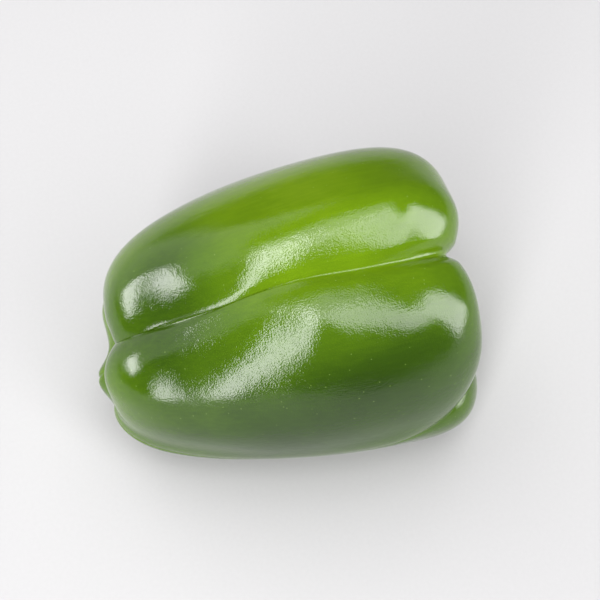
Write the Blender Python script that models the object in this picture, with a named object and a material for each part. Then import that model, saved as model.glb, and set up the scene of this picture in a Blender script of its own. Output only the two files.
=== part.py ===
"""Green bell pepper lying on its side.

Two sub-parts: the fruit, one closed skin of four unequal lobes with a recess at
the stem end and a small hollow at the blossom end, and the calyx with its short
cut stem, which sits down in the recess between the shoulders.

Metres, +Z up. The fruit's own axis runs along X, stem end towards +X, and the
front is -Y. The origin is the middle of the footprint, on the surface.
"""
from math import pi

import bmesh
import bpy
import numpy as np

MM = 0.001
COLLECTION = "green_bell_pepper"

# --- the fruit along its axis, in millimetres -------------------------------
WAIST = -1.9            # where the two ends of each lobe meet
STEM_FLOOR = 30.0       # floor of the recess that the stem stands in
STEM_RECESS = 17.0      # how far out that recess opens
BLOSSOM_FLOOR = -44.0   # bottom of the hollow round the blossom scar
BLOSSOM_HOLLOW = 10.0   # how far out that hollow opens
HOLLOW_SHAPE = 2.3      # how squarely both hollows turn over into the shoulders
NOSE_DOWN = 1.6         # degrees that the blossom end hangs below the stem end
FLAT = 0.7              # depth of skin pressed flat where the lobes touch down

# --- fullness of the profile: smaller is squarer ----------------------------
SIDE_SHOULDER, SIDE_FOOT = 0.494, 0.500
END_TAPER = 0.079       # how much both ends taper
FOOT_TAPER = 0.170      # how much more the foot does than the shoulder
CHANGEOVER = 3.0        # how briskly the shoulder's fullness gives way to the foot's

# --- the four lobes, in order round the fruit -------------------------------
# faces across, crest radius, widening to the stem end, flare at both ends,
# reach of the shoulder, reach of the foot, fullness of the foot
LOBES = (
    (24, 40.1, 6.0, -0.3, 50.7, 52.9, -0.05),   # front
    (22, 41.1, 6.1, 6.4, 50.2, 49.0, 0.00),     # top
    (30, 36.7, -2.2, -1.5, 47.7, 53.3, 0.06),   # back, on the ground
    (20, 40.0, 8.2, 10.0, 49.3, 53.9, -0.05),   # under the front, on the ground
)
# --- the groove that starts each lobe ---------------------------------------
# angle up from the front, twist along the fruit, depth as a share of the radius,
# change of depth to the stem end, change at both ends, dip of shoulder and foot
GROOVES = (
    (-10.3, 7.1, 0.017, 0.007, 0.000, 7.6, 0.9),
    (79.5, 0.6, 0.082, 0.000, 0.117, 3.0, 4.5),
    (162.7, -4.3, 0.129, 0.000, 0.000, 7.0, 3.5),
    (282.1, 10.1, 0.081, 0.000, 0.000, 5.1, 3.0),
)
LOBE_ROUND = 2.90       # how broadly a lobe is rounded across
CREASE_SHARE = 0.15     # share of a groove's depth that is a narrow crease
CREASE_SHARP = 12.0     # how narrow the crease is
CROWDING = 0.4          # how much the faces crowd towards the grooves

# the groove on top wanders: an S bend and a slow wave, in degrees
TOP_GROOVE = 1
S_BEND = 1.7
WAVE, WAVE_LENGTH, WAVE_START = 1.10, 1.159, 1.41

# a knob on the foot of the lobes underneath
KNOB, KNOB_ANGLE, KNOB_SPREAD = 6.7, 270.3, 19.7

COLUMNS, ROWS = 96, 60  # faces round the fruit, and from scar to stem

# --- calyx and stem, in millimetres -----------------------------------------
CALYX_GAP = 0.45        # clearance over the floor of the recess
CALYX_TEETH = 5         # and as many ribs on the stem
FIRST_TOOTH = 0.6       # where the teeth and ribs start round the stem, in radians
TOOTH_REACH = 0.13      # how far the teeth stand out, as a share of the radius
RIB_HEIGHT = 0.07       # height of the ribs, as a share of the radius
STEM_LEAN = (0.9, -0.7) # sideways drift of the cut end, towards +Y and +Z
CALYX_COLUMNS = 80
# radius and height of each row, from the middle of the cut end over the calyx
# to its margin; the underside then runs back in along the floor of the recess
STEM_PROFILE = (
    (0.0, 11.6), (1.9, 11.6), (3.6, 11.8), (4.9, 12.0), (5.6, 11.6),
    (5.7, 10.4), (5.4, 8.6), (5.2, 6.8), (5.3, 5.2), (5.9, 3.8), (6.9, 2.8),
    (8.6, 2.1), (10.6, 1.7), (12.4, 1.5), (13.6, 1.2), (14.1, 0.7),
)
UNDERSIDE = (13.7, 12.0, 9.5, 7.0, 4.5, 2.2, 0.0)
CALYX_RADIUS, STEM_FOOT, CALYX_TOP = 14.1, 6.5, 2.5
STEM_STANDS = 5.0       # height where the stem stops following the recess floor


def groove_angle(which, along):
    """Angle of each groove in degrees, for the place along the fruit (-1 to 1)."""
    table = np.array(GROOVES)
    turned = which // len(GROOVES)
    which = which % len(GROOVES)
    angle = table[which, 0] + table[which, 1] * along + 360.0 * turned
    wave = WAVE * np.sin(2 * pi * along / WAVE_LENGTH + WAVE_START)
    wander = S_BEND * along ** 3 + wave * np.sqrt(1 - along ** 2)
    return angle + np.where(which == TOP_GROOVE, wander, 0.0)


def across_lobe(turn):
    """Lobe that each share of a turn falls in, and the place across it (-1 to 1)."""
    edges = np.cumsum([0] + [lobe[0] for lobe in LOBES]) / COLUMNS
    lobe = np.searchsorted(edges, turn + 1e-6, side="right") - 1
    across = 2 * (turn - edges[lobe]) / (edges[lobe + 1] - edges[lobe]) - 1
    return lobe, across + CROWDING * (np.sin(across * pi / 2) - across)


def skin(turn, height):
    """Axis position, radius and angle of the skin, in millimetres and degrees.

    turn runs 0 to 1 round the fruit, height -1 at the blossom scar to 1 at the
    stem: the two coordinates of a unit sphere standing on its axis.
    """
    ring = 1 - height ** 2
    along = np.sign(height) * np.sqrt(1 - ring ** 2)
    lobe, across = across_lobe(turn)
    sizes = np.array([row[1:] for row in LOBES])
    grooves = np.array(GROOVES)[:, 2:]
    before = across < 0
    own = sizes[lobe]
    other = sizes[np.where(before, lobe - 1, lobe + 1) % len(LOBES)]
    groove = grooves[np.where(before, lobe, lobe + 1) % len(GROOVES)]

    start, end = groove_angle(lobe, along), groove_angle(lobe + 1, along)
    angle = start + (end - start) * (across + 1) / 2

    place = np.abs(across)
    drop = (1 - CREASE_SHARE) * place ** LOBE_ROUND + CREASE_SHARE * place ** CREASE_SHARP
    crest = own[:, 0] + own[:, 1] * along + own[:, 2] * along ** 2
    other_crest = other[:, 0] + other[:, 1] * along + other[:, 2] * along ** 2
    depth = groove[:, 0] + groove[:, 1] * along + groove[:, 2] * along ** 2
    valley = (1 - depth) * (crest + other_crest) / 2
    radius = crest + (valley - crest) * drop
    shoulder_dip = (own[:, 3] + other[:, 3]) / 2 - groove[:, 3] - own[:, 3]
    foot_dip = (own[:, 4] + other[:, 4]) / 2 - groove[:, 4] - own[:, 4]
    off_knob = (angle - KNOB_ANGLE + 180) % 360 - 180
    shoulder = own[:, 3] + shoulder_dip * drop
    foot = own[:, 4] + foot_dip * drop + KNOB * np.exp(-(off_knob / KNOB_SPREAD) ** 2)
    fullness = own[:, 5] + (other[:, 5] - own[:, 5]) / 2 * place ** 2

    to_stem = (1 + np.tanh(CHANGEOVER * along)) / 2
    side = SIDE_FOOT + fullness
    side = side + (SIDE_SHOULDER - side) * to_stem
    radius = radius * ring ** side
    half, lean = (shoulder + foot) / 2, (shoulder - foot) / 2
    taper = END_TAPER * (along ** 3 - along) + FOOT_TAPER * (along ** 2 - along ** 4)
    axial = WAIST + half * (along + taper) + lean * along ** 4
    recess = (WAIST + shoulder - STEM_FLOOR) * np.exp(-(radius / STEM_RECESS) ** HOLLOW_SHAPE)
    hollow = (WAIST - foot - BLOSSOM_FLOOR) * np.exp(-(radius / BLOSSOM_HOLLOW) ** HOLLOW_SHAPE)
    return axial - np.where(along > 0, recess, hollow), radius, angle


def stand_in_space(axial, radius, angle):
    """Points in millimetres for places given along, out from and round the axis."""
    nose = np.radians(NOSE_DOWN)
    upward = radius * np.sin(np.radians(angle))
    forward = radius * np.cos(np.radians(angle))
    x = axial * np.cos(nose) - upward * np.sin(nose)
    z = axial * np.sin(nose) + upward * np.cos(nose)
    return np.stack([x, -forward, z], axis=1)


def fruit_points(turn, height):
    return stand_in_space(*skin(turn, height))


def height_at_radius(turn, radius):
    """Sphere height, near the stem end, where the skin has the given radius."""
    trial = 0.24
    at_trial = skin(turn, np.full_like(turn, np.sqrt(1 - trial ** 2)))[1]
    reached = trial * (radius / at_trial) ** (1 / (2 * SIDE_SHOULDER))
    return np.sqrt(1 - reached ** 2)


def calyx_points(turn, height):
    """Stem and calyx: a turned profile with ribs and teeth, laid in the recess."""
    rows = list(STEM_PROFILE) + [(r, 0.0) for r in UNDERSIDE]
    row = np.rint(np.arccos(np.clip(height, -1, 1)) / pi * (len(rows) - 1)).astype(int)
    radius, rise = np.array(rows)[row].T
    on_stem = (radius < STEM_FOOT) & (rise > CALYX_TOP)
    teeth = np.maximum(0, (radius - STEM_FOOT) / (CALYX_RADIUS - STEM_FOOT)) * TOOTH_REACH
    toothed = np.cos(CALYX_TEETH * 2 * pi * turn + FIRST_TOOTH)
    radius = radius * (1 + (teeth + RIB_HEIGHT * on_stem) * toothed)
    floor, _, skin_angle = skin(turn, height_at_radius(turn, np.maximum(radius, 0.01)))
    standing = np.clip(rise / STEM_STANDS, 0, 1)
    base = floor + (STEM_FLOOR - floor) * standing
    points = stand_in_space(base + CALYX_GAP + rise, radius, skin_angle)
    lean = np.clip(rise / STEM_PROFILE[0][1], 0, None) ** 2
    points[:, 1] += STEM_LEAN[0] * lean
    points[:, 2] += STEM_LEAN[1] * lean
    return points


def material(name, colour, roughness):
    made = bpy.data.materials.new(name)
    made.use_nodes = True
    shader = made.node_tree.nodes["Principled BSDF"]
    shader.inputs["Base Color"].default_value = (*colour, 1.0)
    shader.inputs["Roughness"].default_value = roughness
    shader.inputs["Metallic"].default_value = 0.0
    made.diffuse_color = (*colour, 1.0)
    return made


def from_sphere(name, columns, rows, place, look, collection):
    """A unit sphere whose vertices are moved to where place() puts them.

    The fruit's axis is the sphere's turned over, so the faces are turned back.
    """
    bm = bmesh.new()
    bmesh.ops.create_uvsphere(bm, u_segments=columns, v_segments=rows, radius=1.0)
    start = np.array([vert.co for vert in bm.verts], dtype=float)
    turn = np.arctan2(start[:, 1], start[:, 0]) / (2 * pi)
    turn = np.rint(turn * columns) % columns / columns
    for vert, point in zip(bm.verts, place(turn, np.clip(start[:, 2], -1, 1))):
        vert.co = point * MM
    bmesh.ops.reverse_faces(bm, faces=bm.faces)
    mesh = bpy.data.meshes.new(name)
    bm.to_mesh(mesh)
    bm.free()
    mesh.shade_smooth()
    mesh.materials.append(look)
    made = bpy.data.objects.new(name, mesh)
    collection.objects.link(made)
    return made


def lay_down(fruit, others):
    """Rest the fruit on its two lower lobes, pressed flat, over the origin."""
    points = np.array([vert.co for vert in fruit.data.vertices])
    low, high = points.min(axis=0), points.max(axis=0)
    shift = np.array([-(low[0] + high[0]) / 2, -(low[1] + high[1]) / 2, -low[2] - FLAT * MM])
    for body in [fruit] + others:
        for vert in body.data.vertices:
            moved = np.array(vert.co) + shift
            moved[2] = max(moved[2], 0.0)
            vert.co = moved
        body.data.update()


def main():
    for old in list(bpy.data.objects):
        bpy.data.objects.remove(old, do_unlink=True)
    collection = bpy.data.collections.new(COLLECTION)
    bpy.context.scene.collection.children.link(collection)
    green_skin = material("waxy_green_skin", (0.13, 0.30, 0.02), 0.22)
    calyx_green = material("calyx_green", (0.16, 0.28, 0.07), 0.6)
    fruit = from_sphere("pepper_fruit", COLUMNS, ROWS, fruit_points, green_skin, collection)
    rows = len(STEM_PROFILE) + len(UNDERSIDE) - 1
    calyx = from_sphere("calyx_and_stem", CALYX_COLUMNS, rows, calyx_points, calyx_green,
                        collection)
    lay_down(fruit, [calyx])


main()
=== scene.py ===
"""Green bell pepper lying on its side, four lobes round, with its short cut stem.

Metres, +Z up. The fruit's own axis runs along X, stem end towards +X, and the
front is -Y. The sections follow the pepper from its fruit to its calyx and
stem, and then the table, the studio lights and the camera.
"""
from math import cos, pi, radians, sin

import bmesh
import bpy
import numpy as np
from mathutils import Matrix, Vector, noise


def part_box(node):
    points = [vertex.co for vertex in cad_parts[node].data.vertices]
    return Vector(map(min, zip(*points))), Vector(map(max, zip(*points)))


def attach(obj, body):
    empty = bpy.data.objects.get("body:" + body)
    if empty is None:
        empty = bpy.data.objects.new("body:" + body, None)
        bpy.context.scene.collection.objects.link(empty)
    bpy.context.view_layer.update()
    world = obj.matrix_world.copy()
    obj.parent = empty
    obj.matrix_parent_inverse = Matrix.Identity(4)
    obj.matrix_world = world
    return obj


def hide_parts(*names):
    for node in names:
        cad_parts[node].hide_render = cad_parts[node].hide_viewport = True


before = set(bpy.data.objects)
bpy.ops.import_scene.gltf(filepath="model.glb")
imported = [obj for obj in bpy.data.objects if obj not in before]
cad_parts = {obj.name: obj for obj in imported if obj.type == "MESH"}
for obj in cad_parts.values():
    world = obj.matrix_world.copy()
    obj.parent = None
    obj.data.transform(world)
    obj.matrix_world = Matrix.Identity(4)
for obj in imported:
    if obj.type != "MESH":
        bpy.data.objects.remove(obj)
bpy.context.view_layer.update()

MM = 0.001
# most numbers of the profile, lobes, grooves and knob were found by a fitting
# program and rounded; they weren't designed one by one
WAIST = -1.9            # where the two ends of each lobe meet
STEM_FLOOR = 30.0       # floor of the recess that the stem stands in
STEM_RECESS = 17.0      # how far out that recess opens
BLOSSOM_FLOOR = -44.0   # bottom of the hollow round the blossom scar
BLOSSOM_HOLLOW = 10.0   # how far out that hollow opens
HOLLOW_SHAPE = 2.3      # how squarely both hollows turn over into the shoulders
NOSE_DOWN = 1.6         # degrees that the blossom end hangs below the stem end
FLAT = 0.7              # depth of skin pressed flat where the lobes touch down

# fullness of the profile: smaller is squarer
SIDE_SHOULDER, SIDE_FOOT = 0.494, 0.500
END_TAPER = 0.079       # how much both ends taper
FOOT_TAPER = 0.170      # how much more the foot does than the shoulder
CHANGEOVER = 3.0        # how briskly the shoulder's fullness gives way to the foot's

# faces across, crest radius, widening to the stem end, flare at both ends,
# reach of the shoulder, reach of the foot, fullness of the foot
LOBES = (
    (24, 40.1, 6.0, -0.3, 50.7, 52.9, -0.05),   # front
    (22, 41.1, 6.1, 6.4, 50.2, 49.0, 0.00),     # top
    (30, 36.7, -2.2, -1.5, 47.7, 53.3, 0.06),   # back, on the ground
    (20, 40.0, 8.2, 10.0, 49.3, 53.9, -0.05),   # under the front, on the ground
)
# angle up from the front, twist along the fruit, depth as a share of the radius,
# change of depth to the stem end, change at both ends, dip of shoulder and foot
GROOVES = (
    (-10.3, 7.1, 0.017, 0.007, 0.000, 7.6, 0.9),
    (79.5, 0.6, 0.082, 0.000, 0.117, 3.0, 4.5),
    (162.7, -4.3, 0.129, 0.000, 0.000, 7.0, 3.5),
    (282.1, 10.1, 0.081, 0.000, 0.000, 5.1, 3.0),
)
LOBE_FACES = 96         # faces round the fruit that the lobes' shares add up to
LOBE_ROUND = 2.90       # how broadly a lobe is rounded across
CREASE_SHARE = 0.15     # share of a groove's depth that is a narrow crease
CREASE_SHARP = 12.0     # how narrow the crease is
CROWDING = 0.4          # how much the faces crowd towards the grooves

# the groove on top wanders: an S bend and a slow wave, in degrees
TOP_GROOVE = 1
S_BEND = 1.7
WAVE, WAVE_LENGTH, WAVE_START = 1.10, 1.159, 1.41

# a knob on the foot of the lobes underneath
KNOB, KNOB_ANGLE, KNOB_SPREAD = 6.7, 270.3, 19.7

SKIN_COLUMNS, SKIN_ROWS = 384, 240
# the fine crease in the bottom of each groove, how deep at the shoulder in
# millimetres, and its width in degrees: it starts as a hairline at the foot
CREASE_DEPTHS = (0.0, 0.8, 0.6, 0.6)
CREASE_NARROW, CREASE_WIDE = 0.8, 4.2
# where flesh has grown over a groove: which groove, how thick in millimetres,
# how wide in degrees, and how far up from the foot (-1) it reaches
GROWN_OVER = (
    (0, 1.2, 5.0, 0.55),    # nearly all the groove under the front lobe
    (1, 0.4, 3.0, -0.20),   # the bottom of the top groove's lower half
    (1, 1.4, 8.0, -0.93),   # the top groove's end at the foot
    (3, 0.8, 5.0, -0.80),   # the end between the two lobes on the ground
)
GROWN_FADE = 8.0        # how briskly that growth ends
HALF_LOBE = 29.0        # from the crest of a lobe round to its groove
GROOVE_TINT = 10        # how closely the groove's paler green keeps to its bottom; partly the flesh's own tone and partly a painted highlight
# the skin's slow waves: height and length in millimetres, and how drawn out they are
DIMPLE, DIMPLE_LENGTH, DIMPLE_DRAWN = 0.10, 9.0, 1.8
EVEN_BELOW = 15.0       # closer to the axis than this, the waves die out
# the scar of the blossom: a corky button, its radius and height in millimetres
SCAR_RADIUS, SCAR_HEIGHT = 1.7, 0.5

# broad swells and hollows of the flesh: place along (-1 to 1), angle up from the
# front, how far they spread along and round, and their height in millimetres.
# A fitting program found these numbers, and they were rounded; the words beside
# them say what each does, and not why it was chosen
SWELLS = (
    (-0.87, 53, 0.12, 24, 2.0),     # the front lobe bulges beside the blossom end
    (-0.52, 48, 0.24, 34, -0.1),    # and is slack behind that bulge
    (-0.37, 29, 0.35, 9, -0.4),     # a long shallow dent down its cheek
    (-0.25, 35, 0.17, 25, -0.4),    # deepest near the middle
    (0.11, 60, 0.16, 28, 0.7),      # a broad swelling past the middle
    (0.25, 55, 0.38, 11, 0.8),      # running on as a ridge to the shoulder
    (-0.77, 90, 0.15, 15, -1.5),    # the top lobe is pinched above its foot
    (-0.22, 84, 0.25, 34, 1.1),     # and swells again past the pinch
    (0.25, 101, 0.80, 9, 1.4),      # the rib along its crest
    (0.64, 101, 0.12, 9, 0.8),      # with a knuckle at the shoulder
    (0.23, 137, 0.57, 12, -0.4),    # its far side is a little flat
)

# paler and deeper patches of the green, partly the fruit's own tone and partly
# painted light and shade: place along (-1 to 1), angle up from the front, how far
# they spread along and round, and how much paler (deeper if negative)
TONE_AND_PAINTED_LIGHT_PATCHES = (
    (0.25, 95, 0.70, 35, 0.28),     # pale top, partly painted light, yellowish along the groove
    (0.35, 32, 0.55, 24, -0.35),    # deep green cheek of the front lobe, partly painted shade
    (-0.35, 18, 0.45, 18, -0.15),   # running on down to its foot, partly painted shade
    (-0.72, 82, 0.28, 40, -0.28),   # deep green feet of the front and top lobes, partly painted shade
    (0.00, 0, 1.50, 20, -0.15),     # deeper lower flank of the front lobe, partly painted shade
    (-0.10, 130, 1.20, 20, 0.25),   # painted light on the far flank of the top lobe
    (-0.98, 20, 0.12, 60, 0.20),    # painted light on the rim round the blossom end, in its shade
    (-0.95, 200, 0.20, 80, 0.20),   # and painted light on the feet behind it
)


def groove_angle(which, along):
    """Angle of each groove in degrees, for the place along the fruit (-1 to 1)."""
    table = np.array(GROOVES)
    turned = which // len(GROOVES)
    which = which % len(GROOVES)
    angle = table[which, 0] + table[which, 1] * along + 360.0 * turned
    wave = WAVE * np.sin(2 * pi * along / WAVE_LENGTH + WAVE_START)
    wander = S_BEND * along ** 3 + wave * np.sqrt(1 - along ** 2)
    return angle + np.where(which == TOP_GROOVE, wander, 0.0)


def across_lobe(turn):
    """Lobe that each share of a turn falls in, and the place across it (-1 to 1)."""
    edges = np.cumsum([0] + [lobe[0] for lobe in LOBES]) / LOBE_FACES
    lobe = np.searchsorted(edges, turn + 1e-6, side="right") - 1
    across = 2 * (turn - edges[lobe]) / (edges[lobe + 1] - edges[lobe]) - 1
    return lobe, across + CROWDING * (np.sin(across * pi / 2) - across)


def skin(turn, height):
    """Axis position, radius and angle of the skin, in millimetres and degrees.

    turn runs 0 to 1 round the fruit, height -1 at the blossom scar to 1 at the
    stem: the two coordinates of a unit sphere standing on its axis.
    """
    ring = 1 - height ** 2
    along = np.sign(height) * np.sqrt(1 - ring ** 2)
    lobe, across = across_lobe(turn)
    sizes = np.array([row[1:] for row in LOBES])
    grooves = np.array(GROOVES)[:, 2:]
    before = across < 0
    own = sizes[lobe]
    other = sizes[np.where(before, lobe - 1, lobe + 1) % len(LOBES)]
    groove = grooves[np.where(before, lobe, lobe + 1) % len(GROOVES)]

    start, end = groove_angle(lobe, along), groove_angle(lobe + 1, along)
    angle = start + (end - start) * (across + 1) / 2

    place = np.abs(across)
    drop = (1 - CREASE_SHARE) * place ** LOBE_ROUND + CREASE_SHARE * place ** CREASE_SHARP
    crest = own[:, 0] + own[:, 1] * along + own[:, 2] * along ** 2
    other_crest = other[:, 0] + other[:, 1] * along + other[:, 2] * along ** 2
    depth = groove[:, 0] + groove[:, 1] * along + groove[:, 2] * along ** 2
    valley = (1 - depth) * (crest + other_crest) / 2
    radius = crest + (valley - crest) * drop
    shoulder_dip = (own[:, 3] + other[:, 3]) / 2 - groove[:, 3] - own[:, 3]
    foot_dip = (own[:, 4] + other[:, 4]) / 2 - groove[:, 4] - own[:, 4]
    off_knob = (angle - KNOB_ANGLE + 180) % 360 - 180
    shoulder = own[:, 3] + shoulder_dip * drop
    foot = own[:, 4] + foot_dip * drop + KNOB * np.exp(-(off_knob / KNOB_SPREAD) ** 2)
    fullness = own[:, 5] + (other[:, 5] - own[:, 5]) / 2 * place ** 2

    to_stem = (1 + np.tanh(CHANGEOVER * along)) / 2
    side = SIDE_FOOT + fullness
    side = side + (SIDE_SHOULDER - side) * to_stem
    radius = radius * ring ** side
    half, lean = (shoulder + foot) / 2, (shoulder - foot) / 2
    taper = END_TAPER * (along ** 3 - along) + FOOT_TAPER * (along ** 2 - along ** 4)
    axial = WAIST + half * (along + taper) + lean * along ** 4
    recess = (WAIST + shoulder - STEM_FLOOR) * np.exp(-(radius / STEM_RECESS) ** HOLLOW_SHAPE)
    hollow = (WAIST - foot - BLOSSOM_FLOOR) * np.exp(-(radius / BLOSSOM_HOLLOW) ** HOLLOW_SHAPE)
    return axial - np.where(along > 0, recess, hollow), radius, angle


def stand_in_space(axial, radius, angle):
    """Points in millimetres for places given along, out from and round the axis."""
    nose = np.radians(NOSE_DOWN)
    upward = radius * np.sin(np.radians(angle))
    forward = radius * np.cos(np.radians(angle))
    x = axial * np.cos(nose) - upward * np.sin(nose)
    z = axial * np.sin(nose) + upward * np.cos(nose)
    return np.stack([x, -forward, z], axis=1)


def sphere_to_shape(columns, rows):
    """A unit sphere as a bmesh, with each vertex's turn and height."""
    bm = bmesh.new()
    bmesh.ops.create_uvsphere(bm, u_segments=columns, v_segments=rows, radius=1.0)
    start = np.array([vert.co for vert in bm.verts], dtype=float)
    turn = np.arctan2(start[:, 1], start[:, 0]) / (2 * pi)
    turn = np.rint(turn * columns) % columns / columns
    return bm, turn, np.clip(start[:, 2], -1, 1)


def finished(name, bm, points, attributes):
    """The bmesh moved to its points in metres, as a smooth object with attributes.

    The fruit's axis is the sphere's turned over, so the faces are turned back.
    """
    for vert, point in zip(bm.verts, points):
        vert.co = point
    bmesh.ops.reverse_faces(bm, faces=bm.faces)
    mesh = bpy.data.meshes.new(name)
    bm.to_mesh(mesh)
    bm.free()
    mesh.shade_smooth()
    for label, values in attributes.items():
        made = mesh.attributes.new(label, "FLOAT", "POINT")
        made.data.foreach_set("value", values.astype(np.float32))
    piece = bpy.data.objects.new(name, mesh)
    bpy.context.scene.collection.objects.link(piece)
    return piece


def slow_waves(points):
    """Smooth noise between -1 and 1 for points in millimetres, drawn out along the fruit."""
    stretched = points / (DIMPLE_LENGTH * np.array([DIMPLE_DRAWN, 1.0, 1.0]))
    return np.array([noise.noise(Vector(point)) for point in stretched])


def gentle_swells(along, angle):
    """Height of the broad swells and hollows at places on the skin."""
    total = np.zeros_like(along)
    for place, centre, spread, turn_spread, tall in SWELLS:
        off = (angle - centre + 180) % 360 - 180
        total += tall * np.exp(-((along - place) / spread) ** 2 - (off / turn_spread) ** 2)
    return total


def paleness_with_painted_light(along, angle):
    """How much paler the green is than the fruit's middle green, from its patches of own tone and of
    painted light and shade.
    """
    total = np.zeros_like(along)
    for place, centre, spread, turn_spread, amount in TONE_AND_PAINTED_LIGHT_PATCHES:
        off = (angle - centre + 180) % 360 - 180
        total += amount * np.exp(-((along - place) / spread) ** 2 - (off / turn_spread) ** 2)
    return total


bm, turn, height = sphere_to_shape(SKIN_COLUMNS, SKIN_ROWS)
along = np.sign(height) * np.sqrt(1 - (1 - height ** 2) ** 2)
axial, radius, angle = skin(turn, height)
lobe, across = across_lobe(turn)
points = stand_in_space(axial, radius, angle)

nearest = np.where(across < 0, lobe, lobe + 1) % len(GROOVES)
off_groove = (1 - np.abs(across)) * HALF_LOBE
opening = (1 + along) / 2
width = CREASE_NARROW + (CREASE_WIDE - CREASE_NARROW) * opening
crease = np.array(CREASE_DEPTHS)[nearest] * opening * np.clip(1 - off_groove / width, 0, 1)
scar = np.exp(-(radius / SCAR_RADIUS) ** 4) * (along < 0)
grown = np.zeros_like(along)
for which, thick, wide, up_to in GROWN_OVER:
    fading = (1 - np.tanh(GROWN_FADE * (along - up_to))) / 2
    grown += thick * np.exp(-(off_groove / wide) ** 2) * (nearest == which) * fading
lift = gentle_swells(along, angle) + DIMPLE * slow_waves(points) - crease + grown
lift = lift * np.clip(radius / EVEN_BELOW, 0, 1) + SCAR_HEIGHT * scar
for vert, point in zip(bm.verts, points):
    vert.co = point
bm.normal_update()
outward = -np.array([vert.normal for vert in bm.verts])
points = points + outward * lift[:, None]

shape_low, shape_high = points.min(axis=0), points.max(axis=0)
node_low, node_high = (np.array(corner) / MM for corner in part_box("pepper_fruit"))
pressed = np.array([0, 0, FLAT])
squeeze = (node_high - node_low + pressed) / (shape_high - shape_low)


def lay_down(points):
    """Rests points in millimetres where the solid fruit lies, pressed flat on the table."""
    laid = node_low - pressed + (points - shape_low) * squeeze
    laid[:, 2] = np.maximum(laid[:, 2], 0.0)
    return laid * MM


fruit = finished("fruit_skin", bm, lay_down(points), {
    # the groove attribute holds the grooves' paler green, partly a painted highlight
    "groove": np.abs(across) ** GROOVE_TINT,
    # the pale attribute holds the patches: partly own tone, partly painted light and shade
    "pale": paleness_with_painted_light(along, angle),
    "scar": scar,
    "recess": np.exp(-(radius / STEM_RECESS) ** 2) * (along > 0),
})


def node(tree, kind, inputs=None, **settings):
    """A shader node with its settings, its inputs set or linked."""
    made = tree.nodes.new("ShaderNode" + kind)
    for name, value in settings.items():
        setattr(made, name, value)
    for name, value in (inputs or {}).items():
        if isinstance(value, bpy.types.NodeSocket):
            tree.links.new(value, made.inputs[name])
        else:
            made.inputs[name].default_value = value
    return made


def ramp(tree, factor, stops):
    """The colour of a ramp through the given places and colours."""
    made = node(tree, "ValToRGB", {"Fac": factor})
    for place, _ in stops[2:]:
        made.color_ramp.elements.new(place)
    for element, (place, colour) in zip(made.color_ramp.elements, stops):
        element.position = place
        element.color = (*colour, 1.0)
    return made.outputs["Color"]


def multiply_add(tree, value, factor, addend):
    """value times factor plus addend."""
    made = node(tree, "Math", {0: value, 1: factor, 2: addend}, operation="MULTIPLY_ADD")
    return made.outputs["Value"]


MIX_FIRST, MIX_SECOND, MIX_RESULT = 6, 7, 2   # a Mix node's sockets for colours


def blend_colour(tree, factor, first, second):
    """From the first colour to the second as the factor goes from 0 to 1."""
    made = node(tree, "Mix", {"Factor": factor}, data_type="RGBA")
    for socket, colour in ((MIX_FIRST, first), (MIX_SECOND, second)):
        if isinstance(colour, bpy.types.NodeSocket):
            tree.links.new(colour, made.inputs[socket])
        else:
            made.inputs[socket].default_value = colour
    return made.outputs[MIX_RESULT]


# heights of the skin's finest relief, in metres
PEEL_HEIGHT, STREAK_HEIGHT, PUCKER_HEIGHT = 0.00004, 0.00002, 0.00005


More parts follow.
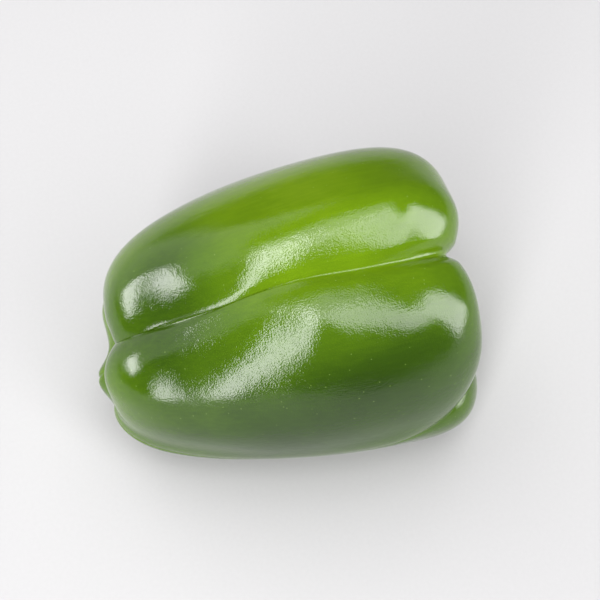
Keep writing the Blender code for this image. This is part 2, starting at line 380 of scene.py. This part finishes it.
def waxy_green_skin():
    """Deep to yellowish green with flecks and painted light and shade, under a thin glossy wax with a
    fine peel.
    """
    made = bpy.data.materials.new("waxy_green_skin")
    made.use_nodes = True
    tree = made.node_tree
    shader = tree.nodes["Principled BSDF"]
    place = node(tree, "TexCoord").outputs["Object"]
    drawn_out = node(tree, "Mapping", {"Vector": place, "Scale": (0.12, 1.0, 1.0)}).outputs["Vector"]
    mottle = node(tree, "TexNoise", {"Vector": place, "Scale": 60.0, "Detail": 5.0}).outputs["Fac"]
    streaks = node(tree, "TexNoise", {"Vector": drawn_out, "Scale": 1100.0, "Detail": 3.0}).outputs["Fac"]
    # pale brings in the patches, partly own tone and partly painted light and shade
    pale = node(tree, "Attribute", attribute_name="pale").outputs["Fac"]
    groove = node(tree, "Attribute", attribute_name="groove").outputs["Fac"]

    tone = multiply_add(tree, mottle, 0.26, 0.32)
    tone = multiply_add(tree, streaks, 0.12, tone)
    tone = multiply_add(tree, pale, 1.0, tone)
    # paler along the grooves' bottoms, partly a painted highlight
    tone = multiply_add(tree, groove, 0.08, tone)
    green = ramp(tree, tone, (
        (0.00, (0.010, 0.024, 0.003)),
        (0.30, (0.024, 0.056, 0.003)),
        (0.55, (0.053, 0.111, 0.003)),
        (0.80, (0.100, 0.185, 0.003)),
        (1.00, (0.163, 0.266, 0.009)),
    ))

    flecks = node(tree, "TexVoronoi", {"Vector": place, "Scale": 420.0})
    fleck = node(tree, "MapRange", {"Value": flecks.outputs["Distance"], "From Min": 0.03,
                                    "From Max": 0.08, "To Min": 0.45, "To Max": 0.0})
    green = blend_colour(tree, fleck.outputs["Result"], green, (0.26, 0.38, 0.10, 1.0))
    recess = node(tree, "Attribute", attribute_name="recess").outputs["Fac"]
    green = blend_colour(tree, recess, green, (0.19, 0.32, 0.03, 1.0))
    scar = node(tree, "Attribute", attribute_name="scar").outputs["Fac"]
    green = blend_colour(tree, scar, green, (0.20, 0.14, 0.06, 1.0))
    tree.links.new(green, shader.inputs["Base Color"])

    peel = node(tree, "TexNoise", {"Vector": place, "Scale": 2600.0, "Detail": 1.0}).outputs["Fac"]
    pucker = node(tree, "TexNoise", {"Vector": place, "Scale": 420.0, "Detail": 2.0}).outputs["Fac"]
    relief = node(tree, "Bump", {"Height": pucker, "Distance": PUCKER_HEIGHT})
    relief = node(tree, "Bump", {"Height": streaks, "Distance": STREAK_HEIGHT,
                                 "Normal": relief.outputs["Normal"]})
    relief = node(tree, "Bump", {"Height": peel, "Distance": PEEL_HEIGHT,
                                 "Normal": relief.outputs["Normal"]})
    tree.links.new(relief.outputs["Normal"], shader.inputs["Normal"])
    rough = multiply_add(tree, mottle, 0.06, 0.05)
    rough = multiply_add(tree, scar, 0.4, rough)
    tree.links.new(rough, shader.inputs["Roughness"])
    shader.inputs["IOR"].default_value = 1.5
    shader.inputs["Subsurface Weight"].default_value = 0.10
    shader.inputs["Subsurface Scale"].default_value = 0.003
    shader.inputs["Subsurface Radius"].default_value = (0.8, 1.0, 0.2)
    return made


fruit.data.materials.append(waxy_green_skin())
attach(fruit, "root")
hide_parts("pepper_fruit")

# ---------------------------------------------------------------------------
# The calyx and stem: a leathery green cap grown on the floor of the recess,
# with five blunt teeth, and the ribbed stalk that stands from it, cut short.
# ---------------------------------------------------------------------------
CALYX_GAP = 0.45        # clearance over the floor of the recess, in millimetres
CALYX_TEETH = 5
FIRST_TOOTH = 0.6       # where the teeth and ribs start round the stem, in radians
TOOTH_REACH = 0.13      # how far the teeth stand out, as a share of the radius
RIB_HEIGHT, FINE_RIB_HEIGHT = 0.06, 0.018   # shares of the radius
FINE_RIBS = 3           # fine ribs to each tooth
STEM_LEAN = (0.9, -0.7) # sideways drift of the cut end, towards +Y and +Z
VEIN_HEIGHT = 0.35      # ridges that run out over the calyx to its teeth
VEIN_NARROW = 6         # how narrow they are
CALYX_COLUMNS = 120
# radius and height of each row, from the middle of the cut end over the calyx
# to its margin; the underside then runs back in along the floor of the recess
STEM_PROFILE = (
    (0.0, 11.3), (1.9, 11.4), (3.6, 11.7), (4.9, 11.9), (5.5, 11.6),
    (5.65, 10.4), (5.4, 8.6), (5.2, 6.8), (5.3, 5.2), (5.9, 3.8), (6.9, 2.8),
    (8.6, 2.0), (10.6, 1.55), (12.4, 1.3), (13.6, 1.1), (14.1, 0.7),
)
UNDERSIDE = (13.7, 12.0, 9.5, 7.0, 4.5, 2.2, 0.0)
CALYX_RADIUS, STEM_FOOT, CALYX_TOP = 14.1, 6.5, 2.5
STEM_STANDS = 5.0       # height where the stem stops following the recess floor
CUT_ROWS = 3            # rows of the profile that are the flat cut
RIM_RADIUS, RIM_SPREAD, RIM_ABOVE = 4.6, 0.7, 11.0   # the cut's drying rim
TRIAL_REACH = 0.24      # how near the stem end the skin is tried for its radius


def height_at_radius(turn, radius):
    """Sphere height, near the stem end, where the skin has the given radius."""
    at_trial = skin(turn, np.full_like(turn, np.sqrt(1 - TRIAL_REACH ** 2)))[1]
    reached = TRIAL_REACH * (radius / at_trial) ** (1 / (2 * SIDE_SHOULDER))
    return np.sqrt(1 - reached ** 2)


rows = [(r, h) for r, h in STEM_PROFILE] + [(r, 0.0) for r in UNDERSIDE]
bm, turn, height = sphere_to_shape(CALYX_COLUMNS, len(rows) - 1)
row = np.rint(np.arccos(height) / pi * (len(rows) - 1)).astype(int)
radius, rise = np.array(rows)[row].T
round_stem = 2 * pi * turn
on_stem = (radius < STEM_FOOT) & (rise > CALYX_TOP) & (row >= CUT_ROWS)
teeth = np.maximum(0, (radius - STEM_FOOT) / (CALYX_RADIUS - STEM_FOOT)) * TOOTH_REACH
toothed = np.cos(CALYX_TEETH * round_stem + FIRST_TOOTH)
fine_ribs = FINE_RIB_HEIGHT * np.cos(FINE_RIBS * CALYX_TEETH * round_stem)
vein = np.maximum(0, toothed) ** VEIN_NARROW
radius = radius * (1 + teeth * toothed + on_stem * (RIB_HEIGHT * toothed + fine_ribs))
rise = rise + VEIN_HEIGHT * vein * (teeth > 0) * (rise > CALYX_TOP / 3)
floor, _, skin_angle = skin(turn, height_at_radius(turn, np.maximum(radius, 0.01)))
standing = np.clip(rise / STEM_STANDS, 0, 1)
base = floor + (STEM_FLOOR - floor) * standing
points = stand_in_space(base + CALYX_GAP + rise, radius, skin_angle)
lean = np.clip(rise / STEM_PROFILE[0][1], 0, None) ** 2
points[:, 1] += STEM_LEAN[0] * lean
points[:, 2] += STEM_LEAN[1] * lean

calyx = finished("calyx_with_stem", bm, lay_down(points), {
    "cut": np.clip(1.5 - row / CUT_ROWS, 0, 1) * (rise > CALYX_TOP),
    "rib": np.where(rise > CALYX_TOP, (1 + toothed) / 2, vein),
    "rim": np.exp(-((radius - RIM_RADIUS) / RIM_SPREAD) ** 2) * (rise > RIM_ABOVE),
})
smoothing = calyx.modifiers.new("smoothing", "SUBSURF")
smoothing.levels = smoothing.render_levels = 2


# heights of the calyx's finest relief, in metres
FIBRE_HEIGHT, LEATHER_HEIGHT = 0.00008, 0.0002


def calyx_green():
    """Matt green with paler ribs and veins, and a pale pithy cut with a drying rim."""
    made = bpy.data.materials.new("calyx_green")
    made.use_nodes = True
    tree = made.node_tree
    shader = tree.nodes["Principled BSDF"]
    place = node(tree, "TexCoord").outputs["Object"]
    drawn_out = node(tree, "Mapping", {"Vector": place, "Scale": (0.2, 1.0, 1.0)}).outputs["Vector"]
    mottle = node(tree, "TexNoise", {"Vector": place, "Scale": 260.0, "Detail": 5.0}).outputs["Fac"]
    fibres = node(tree, "TexNoise", {"Vector": drawn_out, "Scale": 1500.0, "Detail": 3.0}).outputs["Fac"]
    rib = node(tree, "Attribute", attribute_name="rib").outputs["Fac"]
    tone = multiply_add(tree, mottle, 0.5, 0.1)
    tone = multiply_add(tree, rib, 0.35, tone)
    green = ramp(tree, tone, (
        (0.00, (0.045, 0.110, 0.020)),
        (0.45, (0.110, 0.210, 0.040)),
        (1.00, (0.260, 0.380, 0.110)),
    ))
    cut = node(tree, "Attribute", attribute_name="cut").outputs["Fac"]
    pith = ramp(tree, fibres, (
        (0.30, (0.300, 0.330, 0.120)),
        (0.70, (0.560, 0.560, 0.300)),
    ))
    green = blend_colour(tree, cut, green, pith)
    rim = node(tree, "Attribute", attribute_name="rim").outputs["Fac"]
    green = blend_colour(tree, multiply_add(tree, rim, 0.7, 0.0), green, (0.170, 0.120, 0.050, 1.0))
    tree.links.new(green, shader.inputs["Base Color"])
    relief = node(tree, "Bump", {"Height": fibres, "Distance": FIBRE_HEIGHT})
    relief = node(tree, "Bump", {"Height": mottle, "Distance": LEATHER_HEIGHT,
                                 "Normal": relief.outputs["Normal"]})
    tree.links.new(relief.outputs["Normal"], shader.inputs["Normal"])
    tree.links.new(multiply_add(tree, mottle, 0.2, 0.42), shader.inputs["Roughness"])
    shader.inputs["Subsurface Weight"].default_value = 0.1
    shader.inputs["Subsurface Scale"].default_value = 0.002
    return made


calyx.data.materials.append(calyx_green())
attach(calyx, "root")
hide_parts("calyx_and_stem")

# ---------------------------------------------------------------------------
# The table: a plain sheet of white board that the pepper lies on, larger than
# the camera sees. It isn't part of the pepper.
# ---------------------------------------------------------------------------
TABLE_SIZE = 1.6

bm = bmesh.new()
bmesh.ops.create_grid(bm, x_segments=1, y_segments=1, size=TABLE_SIZE / 2)
mesh = bpy.data.meshes.new("table")
bm.to_mesh(mesh)
bm.free()
table = bpy.data.objects.new("table", mesh)
bpy.context.scene.collection.objects.link(table)
white_board = bpy.data.materials.new("white_board")
white_board.use_nodes = True
tree = white_board.node_tree
shader = tree.nodes["Principled BSDF"]
place = node(tree, "TexCoord").outputs["Object"]
fibre = node(tree, "TexNoise", {"Vector": place, "Scale": 900.0, "Detail": 3.0}).outputs["Fac"]
white = ramp(tree, fibre, ((0.0, (0.50, 0.494, 0.50)), (1.0, (0.53, 0.524, 0.53))))
tree.links.new(white, shader.inputs["Base Color"])
shader.inputs["Roughness"].default_value = 0.8
shader.inputs["Specular IOR Level"].default_value = 0.1
mesh.materials.append(white_board)

# ---------------------------------------------------------------------------
# The studio lights: plain soft boxes round the table, and a dim room behind
# them. The directions and first sizes of all but the ceiling light come from the
# same fit as the swells.
# ---------------------------------------------------------------------------
AIM = Vector((0.0, 0.0, 0.04))
DISTANCE_OFF = 0.9


def soft_box(name, azimuth, elevation, spin, width, tall, brightness):
    """A soft box in metres, seen from the fruit at that azimuth (0 back, 90 right)."""
    light = bpy.data.lights.new(name, "AREA")
    light.shape = "RECTANGLE"
    light.size = width
    light.size_y = tall
    light.energy = brightness * pi * width * tall
    made = bpy.data.objects.new(name, light)
    a, e = radians(azimuth), radians(elevation)
    toward = Vector((sin(a) * cos(e), cos(a) * cos(e), sin(e)))
    made.location = AIM + toward * DISTANCE_OFF
    facing = toward.to_track_quat("Z", "Y").to_matrix()
    made.rotation_euler = (facing @ Matrix.Rotation(radians(spin), 3, "Z")).to_euler()
    made.visible_camera = False
    bpy.context.scene.collection.objects.link(made)
    return made


soft_box("front_left_box", -146, 40, 5, 0.20, 1.86, 10.5)
soft_box("right_box", 113, 14, -4, 0.46, 1.32, 7.4)
soft_box("left_window", -82, 25, 11, 0.56, 0.30, 11.0)
soft_box("room_veil", -51, 32, 22, 1.23, 1.23, 1.0)
soft_box("right_overhead_box", 137, 57, -4, 0.26, 0.84, 5.9)
soft_box("thin_overhead_tube", -170, 90, 23, 0.55, 0.31, 2.6)
soft_box("ceiling_light", 5, 66, 0, 0.90, 0.70, 2.3)

# flags: two side boxes light the pepper alone, and the ceiling light the table
FLAGGED = (
    ("lit_pepper", (fruit, calyx), ("right_box", "left_window")),
    ("lit_table", (table,), ("ceiling_light",)),
)
for label, lit_pieces, boxes in FLAGGED:
    receivers = bpy.data.collections.new(label)
    for piece in lit_pieces:
        receivers.objects.link(piece)
    for box in boxes:
        bpy.data.objects[box].light_linking.receiver_collection = receivers

# the room lights the pepper dimly, and its backdrop looks pale past the table
DIM_ROOM = (0.05, 0.05, 0.055, 1.0)
PALE_BACKDROP = (0.66, 0.66, 0.67, 1.0)
world = bpy.data.worlds.new("dim_room")
world.use_nodes = True
tree = world.node_tree
seen = node(tree, "LightPath").outputs["Is Camera Ray"]
room = blend_colour(tree, seen, DIM_ROOM, PALE_BACKDROP)
tree.links.new(room, tree.nodes["Background"].inputs["Color"])
bpy.context.scene.world = world

# ---------------------------------------------------------------------------
# The camera: a long lens, looking steeply down on the pepper from its front and
# a little from its left. Its two angles come from a fit of the pepper's outline.
# ---------------------------------------------------------------------------
LOOK_DOWN, ROUND_LEFT = radians(68.09), radians(-13.68)
DISTANCE, LENS = 0.34, 74.5
LOOKS_AT = Vector((0.0077, 0.0049, 0.0373))

lens = bpy.data.cameras.new("camera")
lens.lens = LENS
lens.sensor_width = 36.0
lens.clip_start = 0.01
camera = bpy.data.objects.new("camera", lens)
back = Vector((sin(ROUND_LEFT) * cos(LOOK_DOWN), -cos(ROUND_LEFT) * cos(LOOK_DOWN), sin(LOOK_DOWN)))
camera.location = LOOKS_AT + back * DISTANCE
camera.rotation_euler = back.to_track_quat("Z", "Y").to_euler()
bpy.context.scene.collection.objects.link(camera)
bpy.context.scene.camera = camera
bpy.context.scene.view_settings.view_transform = "Standard"
